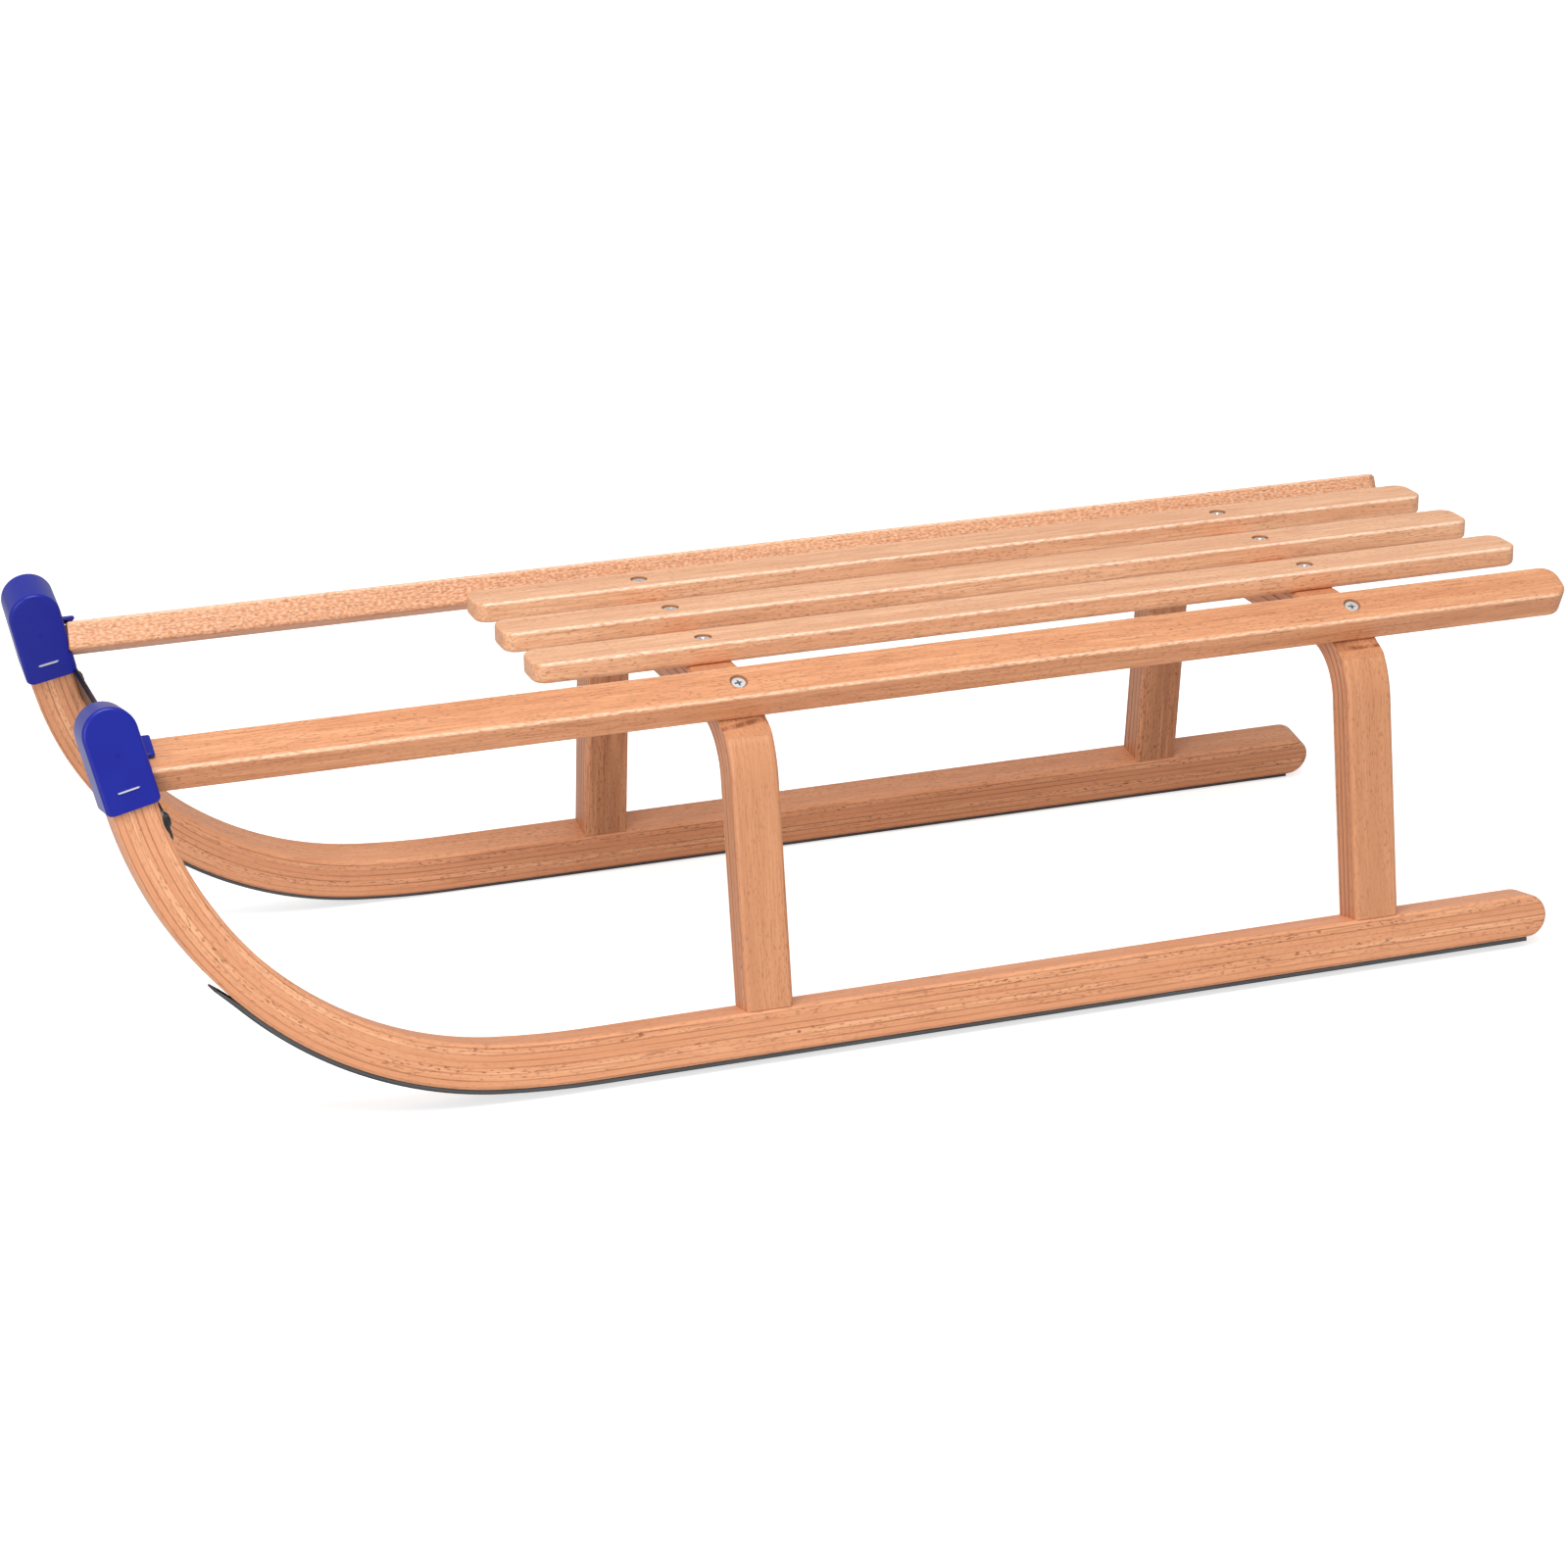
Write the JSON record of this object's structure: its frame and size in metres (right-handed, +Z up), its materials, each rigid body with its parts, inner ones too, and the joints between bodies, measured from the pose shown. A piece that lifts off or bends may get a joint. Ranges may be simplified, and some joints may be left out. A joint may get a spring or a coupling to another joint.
{
  "type": "davos sled",
  "caption": "Rigid wooden davos sled: bent runners on steel shoes, bent yokes, slatted seat, tilted side rails, capped tips and a steel front bow.",
  "frame": {"origin": "on the ground, under the middle of the sled's overall length and width", "axes": "+X along the sled towards its rear (the curled tips are at -X), +Y towards the sled's right side, +Z up"},
  "size_m": [0.7983, 0.316, 0.22],
  "materials": {
    "beech_bent": "satin clear lacquer",
    "beech_slat": "satin clear lacquer",
    "shoe_steel": "satin",
    "bow_steel": "satin",
    "zinc_screws": "bright zinc",
    "cap_plastic": "semi-gloss"
  },
  "bodies": {
    "root": {"runner_left": "beech_bent", "runner_right": "beech_bent", "runner_shoe_left": "shoe_steel", "runner_shoe_right": "shoe_steel", "shoe_screws_left": "zinc_screws", "shoe_screws_right": "zinc_screws", "yoke_front": "beech_bent", "yoke_rear": "beech_bent", "leg_screws_left": "zinc_screws", "leg_screws_right": "zinc_screws", "seat_slat_left": "beech_slat", "seat_slat_centre": "beech_slat", "seat_slat_right": "beech_slat", "slat_screws": "zinc_screws", "side_rail_left": "beech_slat", "side_rail_right": "beech_slat", "rail_screws": "zinc_screws", "tip_cap_left": "cap_plastic", "tip_cap_right": "cap_plastic", "cap_staples_left": "zinc_screws", "cap_staples_right": "zinc_screws", "tip_screws": "zinc_screws", "front_bow": "bow_steel", "bow_screws": "bow_steel"}
  },
  "joints": []
}
